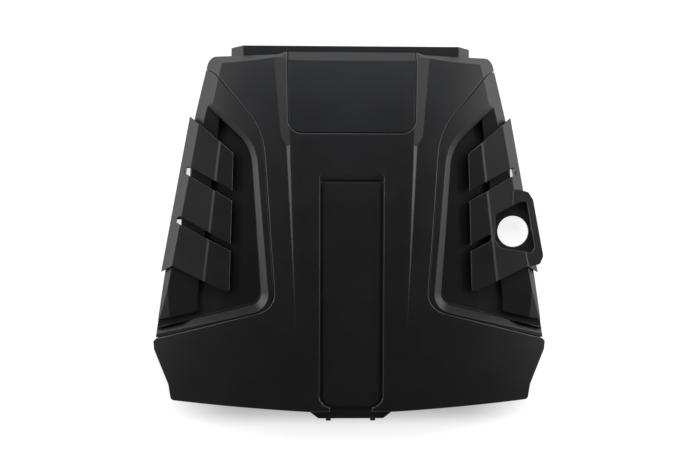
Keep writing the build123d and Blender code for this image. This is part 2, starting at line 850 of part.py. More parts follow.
def roof_seat(x, y, depth):
    """Plane on the plateau or crown at a plan position, lowered along its normal by a depth."""
    swing = CROWN_LENGTH_RADIUS
    plateau = PLATEAU_TOP - swing + (swing**2 - (y - PLATEAU_APEX_Y) ** 2) ** 0.5
    if abs(x) < PLATEAU_FLAT and plateau > crown_height(x, y):
        normal = Vector(0, y - PLATEAU_APEX_Y, plateau - PLATEAU_TOP + swing)
        point = Vector(x, y, plateau)
    else:
        roll = max(abs(x) - CROWN_FLAT, 0.0) / CROWN_SIDE_RADIUS
        pitch = (y - CROWN_APEX_Y) / swing
        normal = Vector(roll if x > 0 else -roll, pitch, (1 - roll**2 - pitch**2) ** 0.5)
        point = Vector(x, y, crown_height(x, y))
    return Plane(point, x_dir=(normal.Z, 0, -normal.X), z_dir=normal).offset(-depth)


def bar(seat, above, beneath, grow):
    """Bar with the section of a tab, grown on all sides, that stands across a seat plane."""
    with BuildPart() as block:
        with BuildSketch(seat.offset(above)):
            Rectangle(TAB_WIDTH + 2 * grow, TAB_THICK + 2 * grow)
        extrude(amount=-(above + beneath))
    return block.part


def tab(seat, grip):
    """Tab that leaves a seat plane, passes a wall and ends in a formed head."""
    with BuildPart() as stake:
        add(bar(seat, TRIM_WALL / 2, grip + TAB_HEAD, 0))
        add(bar(seat.offset(-grip), 0, TAB_HEAD, TAB_HEAD_LIP))
    return stake.part


def tab_slot(seat, grip):
    """Clearance slot for a tab."""
    return bar(seat, TRIM_WALL, grip, TAB_PLAY)


def shelf_seat(x, y):
    """Upright seat plane just above the pocket's outer shelf at a plan position."""
    fall = SHELF_FALL * (x - SHELF_POINT[0])
    rise = SHELF_RISE * (y - SHELF_POINT[1])
    return Plane((x, y, SHELF_POINT[2] - fall + rise + SEAT_GAP))


def louvre(with_filler):
    """Right louvre: three lipped fins on a common outer rail, staked to the shelf."""
    with BuildPart() as lip_tool:
        add(fin_loft(FIN_LIP))
        if with_filler:
            well = prism(well_sketch(TRIM_WALL), FILLER_FLOOR_Z - TRIM_WALL, CROWN_TOP + REACH)
            add(well, mode=Mode.SUBTRACT)
    with BuildPart() as bed:
        add(side_form(-SEAT_GAP))
        if with_filler:
            add(prism(well_sketch(TRIM_WALL + FILLER_ROOM), -REACH, CROWN_TOP + REACH), mode=Mode.SUBTRACT)
    with BuildPart() as posts:
        for x, y in LOUVRE_POSTS:
            add(bar(shelf_seat(x, y), CROWN_TOP, 0, POST_WALL))
        add(fin_loft(TRIM_WALL / 2), mode=Mode.INTERSECT)
        for x, y in LOUVRE_POSTS:
            add(tab(shelf_seat(x, y), TRIM_WALL + 2 * SEAT_GAP))
    with BuildPart() as comb:
        add(louvre_form(0, with_filler))
        add(louvre_form(TRIM_WALL, with_filler), mode=Mode.SUBTRACT)
        add(lip_tool.part, mode=Mode.SUBTRACT)
        add(bed.part, mode=Mode.SUBTRACT)
        add(posts.part)
        if with_filler:
            with BuildSketch():
                with Locations((FILLER_X, FILLER_Y)):
                    Circle(FILLER_RADIUS)
            extrude(amount=CROWN_TOP, mode=Mode.SUBTRACT)
    return comb.part


def rib_sketch():
    """Plan of the ribs of the right half."""
    span = RIB_END - RIB_START
    front_run = FRONT_RIBS_TO - FRONT_RIBS_FROM
    rear_run = REAR_RIB_TO - REAR_RIB_FROM
    with BuildSketch() as ribs:
        with Locations((RIB_START + span / 2, FRONT_RIB_Y), (RIB_START + span / 2, REAR_RIB_Y)):
            Rectangle(span, RIB_THICK)
        with Locations(*((x, FRONT_RIBS_FROM + front_run / 2) for x in FRONT_RIBS_X)):
            Rectangle(RIB_THICK, front_run)
        with Locations((REAR_RIB_X, REAR_RIB_FROM + rear_run / 2)):
            Rectangle(RIB_THICK, rear_run)
        add(side_sketch(FLANGE_ROOT / 2), mode=Mode.SUBTRACT)
    return ribs.sketch


def holder(x, y, facing):
    """Box-shaped stud holder under the skin, open on one side, with a slotted plate at its foot."""
    spot = Plane((x, y, HOLDER_PLATE_Z), x_dir=(facing, 0, 0), z_dir=(0, 0, 1))
    room = HOLDER_HALF - HOLDER_WALL
    with BuildPart() as tower:
        with BuildSketch(spot):
            Rectangle(2 * HOLDER_HALF, 2 * HOLDER_HALF)
        extrude(amount=CROWN_TOP)
        with BuildSketch(spot.offset(HOLDER_PLATE)):
            with Locations((0, HOLDER_WALL)):
                Rectangle(2 * room, 2 * HOLDER_HALF)
        extrude(amount=CROWN_TOP, mode=Mode.SUBTRACT)
        with BuildSketch(spot):
            Circle(GROMMET_NECK + GROMMET_PLAY)
            with Locations((0, HOLDER_HALF / 2)):
                Rectangle(2 * (GROMMET_NECK + GROMMET_PLAY), HOLDER_HALF)
        extrude(amount=HOLDER_PLATE, mode=Mode.SUBTRACT)
        add(envelope(WALL / 2), mode=Mode.INTERSECT)
    return tower.part


def grommet(x, y):
    """Rubber socket: tapered foot flange, grooved neck and tapered head round a blind bore."""
    low = HOLDER_PLATE_Z - GROMMET_PLAY
    high = HOLDER_PLATE_Z + HOLDER_PLATE + GROMMET_PLAY
    with BuildPart() as rubber:
        with BuildSketch(Plane((x, y, 0), x_dir=(1, 0, 0), z_dir=(0, -1, 0))):
            with BuildLine():
                Polyline(
                    (SOCKET_RADIUS, GROMMET_FOOT_Z),
                    (GROMMET_FLANGE, low),
                    (GROMMET_NECK, low),
                    (GROMMET_NECK, high),
                    (GROMMET_HEAD, high),
                    (GROMMET_CAP, GROMMET_TOP_Z),
                    (0, GROMMET_TOP_Z),
                    (0, GROMMET_FOOT_Z + SOCKET_LENGTH),
                    (SOCKET_RADIUS, GROMMET_FOOT_Z + SOCKET_LENGTH),
                    close=True,
                )
            make_face()
        revolve(axis=Axis((x, y, 0), (0, 0, 1)))
    return rubber.part


with BuildSketch() as lugs:
    with Locations(*SIDE_TABS):
        Rectangle(TAB_WIDTH + 2 * TAB_LUG, TAB_THICK + 2 * TAB_LUG)

with BuildSketch() as flange_plan:
    add(side_sketch(FLANGE_ROOT))
    add(side_sketch(-FLANGE), mode=Mode.SUBTRACT)
    add(lugs.sketch)

with BuildSketch() as pad_plan:
    with Locations((0, (PAD_REAR_Y + PAD_FRONT_Y) / 2)):
        RectangleRounded(2 * PAD_HALF, PAD_REAR_Y - PAD_FRONT_Y, PAD_ROUND)
    with Locations(*CENTRE_TABS):
        Rectangle(
            TAB_WIDTH + 2 * (TAB_HEAD_LIP + PAD_HOLE),
            TAB_THICK + 2 * (TAB_HEAD_LIP + PAD_HOLE),
            mode=Mode.SUBTRACT,
        )

skin_grip = WALL + 2 * SEAT_GAP
badge_seats = [roof_seat(side * x, y, TRIM_WALL) for x, y in BADGE_TABS for side in (1, -1)]
centre_seats = [roof_seat(x, y, CENTRE_DEPTH - SEAT_GAP) for x, y in CENTRE_TABS]
side_seats = [roof_seat(x, y, TRIM_WALL) for x, y in SIDE_TABS]

with BuildPart() as main_shell:
    add(envelope(0))
    add(envelope(WALL), mode=Mode.SUBTRACT)
    flange = layer(flange_plan.sketch, WALL / 2, TRIM_SEAT + WALL)
    ribs = layer(rib_sketch(), WALL / 2, WALL + RIB_DEPTH, RIB_LOW_Z)
    holders = [holder(side * STUDS_FRONT[0], STUDS_FRONT[1], 1) for side in (1, -1)]
    holders += [holder(side * STUDS_REAR[0], STUDS_REAR[1], -1) for side in (1, -1)]
    add([flange, flipped(flange), ribs, flipped(ribs), *holders])
    add(layer(badge_sketch(SEAM_GAP + WALL), WALL / 2, TRIM_SEAT + WALL, BADGE_LIP_Z - WALL))
    add(centre_bed())
    add(roof_layer(chin_sketch(WALL), CHIN_DEPTH + WALL))
    seam_tool = overburden(side_sketch(0), TRIM_SEAT)
    pocket_tool = pocket_block(TRIM_WALL + SEAT_GAP)
    for tool in (seam_tool, pocket_tool):
        add([tool, flipped(tool)], mode=Mode.SUBTRACT)
    add(overburden(badge_sketch(SEAM_GAP), TRIM_SEAT, BADGE_LIP_Z - SEAM_GAP), mode=Mode.SUBTRACT)
    add(centre_tool(), mode=Mode.SUBTRACT)
    add(roof_tool(chin_sketch(0), CHIN_DEPTH), mode=Mode.SUBTRACT)
    slots = [tab_slot(seat, 2 * skin_grip) for seat in badge_seats + centre_seats + side_seats]
    slots += [flipped(tab_slot(seat, 2 * skin_grip)) for seat in side_seats]
    add(slots, mode=Mode.SUBTRACT)
    with BuildSketch(Plane.XZ.offset(-FRONT_CORNER[1] - FRONT_CORNER_ROUND)):
        with BuildLine():
            Polyline(
                (ARCH_HALF + ARCH_FLARE, 0),
                (ARCH_HALF, ARCH_RISE),
                (-ARCH_HALF, ARCH_RISE),
                (-ARCH_HALF - ARCH_FLARE, 0),
                close=True,
            )
        make_face()
    extrude(amount=REACH, mode=Mode.SUBTRACT)
    with BuildSketch(Plane.XZ.offset(-LEDGE_ROOT_Y)):
        with Locations((0, LEDGE_FOOT / 2)):
            Rectangle(2 * (LEDGE_HALF + LEDGE_FLARE), LEDGE_FOOT)
    extrude(amount=-REACH, mode=Mode.SUBTRACT)
    with Locations(*((side * TONGUE_X, TONGUE_Y, TONGUE_Z) for side in (1, -1))):
        Box(
            TONGUE_WIDTH,
            CHIN_Y + WALL / 2 - TONGUE_Y,
            TONGUE_THICK,
            align=(Align.CENTER, Align.MIN, Align.CENTER),
        )

with BuildPart() as badge_panel:
    add(layer(badge_sketch(0), 0, TRIM_WALL, BADGE_LIP_Z))
    for seat in badge_seats:
        add(tab(seat, skin_grip))

with BuildPart() as centre_panel:
    add(roof_slab(centre_sketch(0, 0, -PANEL_GAP), CENTRE_DEPTH - SEAT_GAP - TRIM_WALL, TRIM_WALL))
    for seat in centre_seats:
        add(tab(seat, skin_grip))

with BuildPart() as right_side_panel:
    add(side_panel(True))
    for seat in side_seats:
        add(tab(seat, skin_grip))

with BuildPart() as left_side_panel:
    add(flipped(side_panel(False)))
    for seat in side_seats:
        add(flipped(tab(seat, skin_grip)))

with BuildPart() as right_louvre:
    add(louvre(True))

with BuildPart() as left_louvre:
    add(flipped(louvre(False)))

with BuildPart() as acoustic_pad:
    add(roof_slab(pad_plan.sketch, CENTRE_DEPTH + WALL + SEAT_GAP, PAD_THICK))

with BuildPart() as grommet_front_left:
    add(grommet(-STUDS_FRONT[0], STUDS_FRONT[1]))

with BuildPart() as grommet_front_right:
    add(grommet(STUDS_FRONT[0], STUDS_FRONT[1]))

with BuildPart() as grommet_rear_left:
    add(grommet(-STUDS_REAR[0], STUDS_REAR[1]))

with BuildPart() as grommet_rear_right:
    add(grommet(STUDS_REAR[0], STUDS_REAR[1]))

os.makedirs("parts", exist_ok=True)

main_shell.part.label = "main_shell"
export_step(main_shell.part, "parts/main_shell.step")
badge_panel.part.label = "badge_panel"
export_step(badge_panel.part, "parts/badge_panel.step")
centre_panel.part.label = "centre_panel"
export_step(centre_panel.part, "parts/centre_panel.step")
right_side_panel.part.label = "right_side_panel"
export_step(right_side_panel.part, "parts/right_side_panel.step")
left_side_panel.part.label = "left_side_panel"
export_step(left_side_panel.part, "parts/left_side_panel.step")
right_louvre.part.label = "right_louvre"
export_step(right_louvre.part, "parts/right_louvre.step")
left_louvre.part.label = "left_louvre"
export_step(left_louvre.part, "parts/left_louvre.step")
acoustic_pad.part.label = "acoustic_pad"
export_step(acoustic_pad.part, "parts/acoustic_pad.step")
grommet_front_left.part.label = "grommet_front_left"
export_step(grommet_front_left.part, "parts/grommet_front_left.step")
grommet_front_right.part.label = "grommet_front_right"
export_step(grommet_front_right.part, "parts/grommet_front_right.step")
grommet_rear_left.part.label = "grommet_rear_left"
export_step(grommet_rear_left.part, "parts/grommet_rear_left.step")
grommet_rear_right.part.label = "grommet_rear_right"
export_step(grommet_rear_right.part, "parts/grommet_rear_right.step")
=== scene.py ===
"""Studio picture of a car engine cover: finishes, foam pad, sill, floor, light and camera."""

import logging
import math
from dataclasses import dataclass
from enum import Enum
from typing import Any, Union

import bmesh
import bpy
from mathutils import Matrix, Vector
from mathutils.bvhtree import BVHTree


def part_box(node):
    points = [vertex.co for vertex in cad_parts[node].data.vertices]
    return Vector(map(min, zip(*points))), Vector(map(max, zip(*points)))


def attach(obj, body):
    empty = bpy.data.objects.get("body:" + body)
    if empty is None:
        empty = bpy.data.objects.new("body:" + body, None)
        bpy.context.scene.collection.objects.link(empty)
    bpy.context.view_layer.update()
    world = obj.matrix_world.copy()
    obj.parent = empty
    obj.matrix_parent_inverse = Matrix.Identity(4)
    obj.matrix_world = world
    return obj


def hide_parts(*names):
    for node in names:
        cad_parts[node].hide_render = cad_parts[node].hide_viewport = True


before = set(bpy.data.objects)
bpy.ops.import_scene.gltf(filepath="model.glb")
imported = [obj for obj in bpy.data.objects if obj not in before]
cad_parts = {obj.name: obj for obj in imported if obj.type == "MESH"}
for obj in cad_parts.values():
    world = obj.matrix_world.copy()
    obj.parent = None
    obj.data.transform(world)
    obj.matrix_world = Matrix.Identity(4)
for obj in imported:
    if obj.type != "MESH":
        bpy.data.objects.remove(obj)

LOG = logging.getLogger("engine_cover")
PHOTO_WIDTH_PX = 700
MM = 0.001
BEVEL_SAMPLES = 6
EDGE_SAMPLES = 8
NOISE_MIDDLE = 0.5
MIX_COLOUR_LOW = 6
MIX_COLOUR_HIGH = 7
MIX_COLOUR_RESULT = 2

Number = Union[int, float]
Colour = tuple[float, float, float]
Span = tuple[float, float]


class Moulding(Enum):
    """Solid pieces of the cover that keep their own shape."""

    MAIN_SHELL = "main_shell"
    BADGE_PANEL = "badge_panel"
    CENTRE_PANEL = "centre_panel"
    LEFT_SIDE_PANEL = "left_side_panel"
    RIGHT_SIDE_PANEL = "right_side_panel"
    LEFT_LOUVRE = "left_louvre"
    RIGHT_LOUVRE = "right_louvre"
    GROMMET_FRONT_LEFT = "grommet_front_left"
    GROMMET_FRONT_RIGHT = "grommet_front_right"
    GROMMET_REAR_LEFT = "grommet_rear_left"
    GROMMET_REAR_RIGHT = "grommet_rear_right"


class Wire:
    """One output of a shader node, with arithmetic that adds Math nodes."""

    def __init__(self, graph: "ShaderGraph", socket: bpy.types.NodeSocket) -> None:
        """Keep the graph and the socket.

        Args:
            graph: Graph that owns the socket.
            socket: Output socket that carries the value.
        """
        self.graph = graph
        self.socket = socket

    def _math(self, operation: str, first: Any, second: Any) -> "Wire":
        """Add one Math node.

        Args:
            operation: Name of the Math node's operation.
            first: First value or wire.
            second: Second value or wire.

        Returns:
            The node's result.
        """
        return self.graph.node("ShaderNodeMath", {"operation": operation}, {0: first, 1: second})

    def __add__(self, other: Any) -> "Wire":
        """Sum with a value or wire."""
        return self._math("ADD", self, other)

    __radd__ = __add__

    def __sub__(self, other: Any) -> "Wire":
        """Difference from a value or wire."""
        return self._math("SUBTRACT", self, other)

    def __rsub__(self, other: Any) -> "Wire":
        """Difference of a number and this wire."""
        return self._math("SUBTRACT", other, self)

    def __mul__(self, other: Any) -> "Wire":
        """Product with a value or wire."""
        return self._math("MULTIPLY", self, other)

    __rmul__ = __mul__

    def __abs__(self) -> "Wire":
        """Size of this wire without its sign."""
        return self._math("ABSOLUTE", self, 0.0)

    def at_least(self, limit: Any) -> "Wire":
        """Larger of this wire and a limit."""
        return self._math("MAXIMUM", self, limit)

    def ramp(self, low: Number, high: Number) -> "Wire":
        """Smooth step of this wire from 0 at low to 1 at high."""
        settings = {"interpolation_type": "SMOOTHSTEP"}
        inputs = {"Value": self, "From Min": low, "From Max": high}
        return self.graph.node("ShaderNodeMapRange", settings, inputs)


class ShaderGraph:
    """Node tree of one material or of the world."""

    def __init__(self, tree: bpy.types.NodeTree) -> None:
        """Start from an empty tree.

        Args:
            tree: Node tree to fill.
        """
        self.tree = tree
        self.tree.nodes.clear()

    def node(self, kind: str, settings: dict[str, Any], inputs: dict[Any, Any], output: Any = 0) -> Any:
        """Add a node, set it up and feed its sockets.

        Args:
            kind: Type name of the node.
            settings: Properties of the node, set before its sockets.
            inputs: Values or wires by socket name or index.
            output: Name or index of the output to return.

        Returns:
            The chosen output as a wire, or None for a node without outputs.
        """
        made = self.tree.nodes.new(kind)
        for key, value in settings.items():
            setattr(made, key, value)
        for key, value in inputs.items():
            if isinstance(value, Wire):
                self.tree.links.new(value.socket, made.inputs[key])
            else:
                made.inputs[key].default_value = value
        return Wire(self, made.outputs[output]) if made.outputs else None

    def place(self) -> Wire:
        """Position on the piece, in metres."""
        return self.node("ShaderNodeTexCoord", {}, {}, "Object")

    def axis(self, vector: Wire, name: str) -> Wire:
        """One component of a vector, named X, Y or Z."""
        return self.node("ShaderNodeSeparateXYZ", {}, {0: vector}, name)

    def noise(self, place: Wire, grain: float, detail: float = 2.0) -> Wire:
        """Cloudy pattern.

        Args:
            place: Position that the pattern follows.
            grain: Size of one cloud in metres.
            detail: Number of finer layers.

        Returns:
            A value round one half.
        """
        inputs = {"Vector": place, "Scale": 1 / grain, "Detail": detail}
        return self.node("ShaderNodeTexNoise", {}, inputs, "Fac")

    def blend(self, mask: Wire, low: Union[Wire, Colour], high: Union[Wire, Colour]) -> Wire:
        """Mix of two colours by a mask.

        Args:
            mask: 0 for the first colour, 1 for the second.
            low: First colour.
            high: Second colour.

        Returns:
            The mixed colour.
        """
        first, second = (tint if isinstance(tint, Wire) else (*tint, 1.0) for tint in (low, high))
        inputs = {"Factor": mask, MIX_COLOUR_LOW: first, MIX_COLOUR_HIGH: second}
        return self.node("ShaderNodeMix", {"data_type": "RGBA"}, inputs, MIX_COLOUR_RESULT)


def new_material(name: str) -> tuple[bpy.types.Material, ShaderGraph]:
    """Start a material with an empty node tree.

    Args:
        name: Name of the material.

    Returns:
        The material and the graph of its nodes.
    """
    made = bpy.data.materials.new(name)
    made.use_nodes = True
    return made, ShaderGraph(made.node_tree)


def link_mesh(name: str, mesh: bmesh.types.BMesh) -> bpy.types.Object:
    """Turn a bmesh into an object of the scene, and free it.

    Args:
        name: Name of the object and of its mesh.
        mesh: Finished bmesh.

    Returns:
        The new object.
    """
    data = bpy.data.meshes.new(name)
    mesh.to_mesh(data)
    mesh.free()
    made = bpy.data.objects.new(name, data)
    bpy.context.scene.collection.objects.link(made)
    return made


@dataclass(frozen=True)
class MouldedPlastic:
    """Black grained plastic with softened edges, whose convex edges get a painted edge colour: a painted
    highlight where it is lighter than the body, a painted seam shade where it is darker.
    """

    name: str
    colour: Colour = (0.0072, 0.0073, 0.0076)
    # Painted edge colour: by default a light painted highlight along the convex edges
    painted_edge_colour: Colour = (0.13, 0.131, 0.133)
    roughness: float = 0.38
    roughness_spread: float = 0.07
    edge_polish: float = 0.1
    specular: float = 0.5
    edge_radius: float = 1.9 * MM
    grain: float = 1.1 * MM
    grain_depth: float = 0.09 * MM
    grain_layers: float = 3.0
    edge_span: Span = (0.08, 0.5)
    flow_mark: float = 60 * MM
    flow_span: Span = (0.35, 0.65)
    mottle: float = 0.12

    def shade(self, factor: float) -> Colour:
        """Colour of the plastic made darker or lighter by a factor."""
        return tuple(channel * factor for channel in self.colour)

    def body(self, graph: ShaderGraph, place: Wire, flow: Wire) -> Wire:
        """Colour of the faces, mottled by the melt's flow.

        Args:
            graph: Graph to add it to.
            place: Position on the piece, not used here.
            flow: Cloudy pattern of the flow.

        Returns:
            The colour.
        """
        dark = self.shade(1 - self.mottle)
        light = self.shade(1 + self.mottle)
        return graph.blend(flow.ramp(*self.flow_span), dark, light)

    def painted_edge_tint(self, graph: ShaderGraph, place: Wire, rounded: Wire) -> Union[Wire, Colour]:
        """Painted colour of the convex edges: a painted highlight where lighter, a painted seam shade
        where darker.
        """
        return self.painted_edge_colour

    def material(self) -> bpy.types.Material:
        """Make the material.

        Returns:
            The new material.
        """
        made, graph = new_material(self.name)
        place = graph.place()
        rounded = graph.node("ShaderNodeBevel", {"samples": BEVEL_SAMPLES}, {"Radius": self.edge_radius})
        buried = {"inside": True, "only_local": True, "samples": EDGE_SAMPLES}
        solid = graph.node("ShaderNodeAmbientOcclusion", buried, {"Distance": self.edge_radius}, "AO")
        # Mask of the convex edges, which carries the painted edge colour and the edge polish
        edge = (1 - solid).ramp(*self.edge_span)
        flow = graph.noise(place, self.flow_mark)
        pits = graph.noise(place, self.grain, self.grain_layers)
        bump = graph.node(
            "ShaderNodeBump",
            {},
            {"Distance": self.grain_depth, "Height": pits, "Normal": rounded},
        )
        body = self.body(graph, place, flow)
        flow_rough = (flow - NOISE_MIDDLE) * self.roughness_spread
        rough = flow_rough + (pits - NOISE_MIDDLE) * self.roughness_spread + self.roughness
        # Base Color takes the painted edge colour on the convex edges
        shader = graph.node(
            "ShaderNodeBsdfPrincipled",
            {},
            {
                "Base Color": graph.blend(edge, body, self.painted_edge_tint(graph, place, rounded)),
                "Roughness": rough - edge * self.edge_polish,
                "Specular IOR Level": self.specular,
                "Normal": bump,
            },
        )
        graph.node("ShaderNodeOutputMaterial", {}, {"Surface": shader})
        return made


@dataclass(frozen=True)
class PocketPlastic(MouldedPlastic):
    """Plastic of the side panels, with painted shade on the deep floor of the pocket."""

    # Painted shade: share of the colour left on the pocket's deep floor
    painted_floor_shade: float = 0.15
    floor_top: float = 40 * MM
    floor_side: float = 195 * MM
    fade: float = 14 * MM

    def body(self, graph: ShaderGraph, place: Wire, flow: Wire) -> Wire:
        """Colour of the faces, with painted shade on the pocket's floor.

        Args:
            graph: Graph to add it to.
            place: Position on the piece.
            flow: Cloudy pattern of the flow.

        Returns:
            The colour.
        """
        plain = super().body(graph, place, flow)
        # Painted shade on the low, inner part of the pocket: below floor_top and inside floor_side
        raised = graph.axis(place, "Z").ramp(self.floor_top, self.floor_top + self.fade)
        outer = abs(graph.axis(place, "X")).ramp(self.floor_side, self.floor_side + self.fade)
        return graph.blend((1 - raised) * (1 - outer), plain, self.shade(self.painted_floor_shade))


@dataclass(frozen=True)
class FinPlastic(MouldedPlastic):
    """Plastic of the louvres, with a painted highlight along the inner ends of the fins."""

    # Painted highlight on the fin ends that face the middle of the cover
    painted_glint_colour: Colour = (0.5, 0.502, 0.506)
    end_place: float = 170 * MM
    end_turn: Span = (0.42, 0.62)

    def painted_edge_tint(self, graph: ShaderGraph, place: Wire, rounded: Wire) -> Union[Wire, Colour]:
        """Painted colour of the edges, a painted highlight that is lightest where they face the middle of
        the cover.

        Args:
            graph: Graph to add it to.
            place: Position on the piece.
            rounded: Normal with the edges softened.

        Returns:
            The colour.
        """
        # Painted highlight mask: edges whose rounded normal points toward the middle of the cover
        inward = graph.axis(place, "X") * graph.axis(rounded, "X") * (-1 / self.end_place)
        return graph.blend(inward.ramp(*self.end_turn), self.painted_edge_colour, self.painted_glint_colour)


@dataclass(frozen=True)
class SoftRubber:
    """Dull black rubber with a dusty bloom."""

    name: str
    colour: Colour = (0.012, 0.012, 0.012)
    bloom_colour: Colour = (0.03, 0.03, 0.029)
    roughness: float = 0.7
    roughness_spread: float = 0.2
    bloom: float = 4 * MM
    bloom_layers: float = 4.0
    bloom_span: Span = (0.45, 0.75)
    edge_radius: float = 0.6 * MM

    def material(self) -> bpy.types.Material:
        """Make the material.

        Returns:
            The new material.
        """
        made, graph = new_material(self.name)
        cloud = graph.noise(graph.place(), self.bloom, self.bloom_layers)
        rounded = graph.node("ShaderNodeBevel", {"samples": BEVEL_SAMPLES}, {"Radius": self.edge_radius})
        shader = graph.node(
            "ShaderNodeBsdfPrincipled",
            {},
            {
                "Base Color": graph.blend(cloud.ramp(*self.bloom_span), self.colour, self.bloom_colour),
                "Roughness": (cloud - NOISE_MIDDLE) * self.roughness_spread + self.roughness,
                "Normal": rounded,
            },
        )
        graph.node("ShaderNodeOutputMaterial", {}, {"Surface": shader})
        return made


@dataclass(frozen=True)
class FeltedFoam:
    """Dark grey open foam under a thin felt skin."""

    name: str
    colour: Colour = (0.035, 0.035, 0.038)
    fibre_colour: Colour = (0.085, 0.085, 0.09)
    roughness: float = 0.95
    fibre: float = 1.2 * MM
    fibre_layers: float = 5.0
    fibre_span: Span = (0.12, 0.42)
    tuft: float = 9 * MM
    tuft_layers: float = 3.0
    tuft_share: float = 0.6
    depth: float = 0.5 * MM
    sheen: float = 0.3
    sheen_roughness: float = 0.5

    def material(self) -> bpy.types.Material:
        """Make the material.

        Returns:
            The new material.
        """
        made, graph = new_material(self.name)
        place = graph.place()
        fibres = graph.noise(place, self.fibre, self.fibre_layers)
        tufts = graph.noise(place, self.tuft, self.tuft_layers)
        height = fibres + tufts * self.tuft_share
        bump = graph.node("ShaderNodeBump", {}, {"Distance": self.depth, "Height": height})
        strands = (fibres * tufts).ramp(*self.fibre_span)
        shader = graph.node(
            "ShaderNodeBsdfPrincipled",
            {},
            {
                "Base Color": graph.blend(strands, self.colour, self.fibre_colour),
                "Roughness": self.roughness,
                "Sheen Weight": self.sheen,
                "Sheen Roughness": self.sheen_roughness,
                "Normal": bump,
            },
        )
        graph.node("ShaderNodeOutputMaterial", {}, {"Surface": shader})
        return made


@dataclass
class Mouldings:
    """The rigid pieces of the cover and their finishes."""

    # Shell: the default painted edge colour is a painted highlight along its edges
    shell: MouldedPlastic = MouldedPlastic("shell_plastic_black")
    # Inset panels: the very dark painted edge colour paints shade into their seams
    inset: MouldedPlastic = MouldedPlastic(
        "inset_panel_plastic_black",
        colour=(0.0082, 0.0083, 0.0086),
        painted_edge_colour=(0.002, 0.002, 0.002),
        edge_polish=-0.35,
    )
    # Side panels: the lighter painted edge colour is a painted highlight
    side: PocketPlastic = PocketPlastic(
        "side_panel_plastic_black",
        colour=(0.0055, 0.0056, 0.0058),
        painted_edge_colour=(0.012, 0.0121, 0.0124),
    )
    # Louvres: the lighter painted edge colour is a painted highlight
    louvre: FinPlastic = FinPlastic(
        "louvre_plastic_black",
        colour=(0.012, 0.0121, 0.0124),
        painted_edge_colour=(0.014, 0.0141, 0.0144),
    )
    rubber: SoftRubber = SoftRubber("grommet_rubber")

    def finish_of(self, piece: Moulding) -> Union[MouldedPlastic, SoftRubber]:
        """Choose the finish of a piece.

        Args:
            piece: Piece to dress.

        Returns:
            The finish that it gets.
        """
        if piece is Moulding.MAIN_SHELL:
            return self.shell
        if piece in (Moulding.BADGE_PANEL, Moulding.CENTRE_PANEL):
            return self.inset
        if piece in (Moulding.LEFT_SIDE_PANEL, Moulding.RIGHT_SIDE_PANEL):
            return self.side
        if piece in (Moulding.LEFT_LOUVRE, Moulding.RIGHT_LOUVRE):
            return self.louvre
        return self.rubber

    def dress(self) -> None:
        """Give every moulding its material."""
        made: dict[str, bpy.types.Material] = {}
        for piece in Moulding:
            finish = self.finish_of(piece)
            if finish.name not in made:
                made[finish.name] = finish.material()
            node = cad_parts[piece.value]
            node.data.materials.clear()
            node.data.materials.append(made[finish.name])
            LOG.info("%s dressed in %s", piece.value, finish.name)


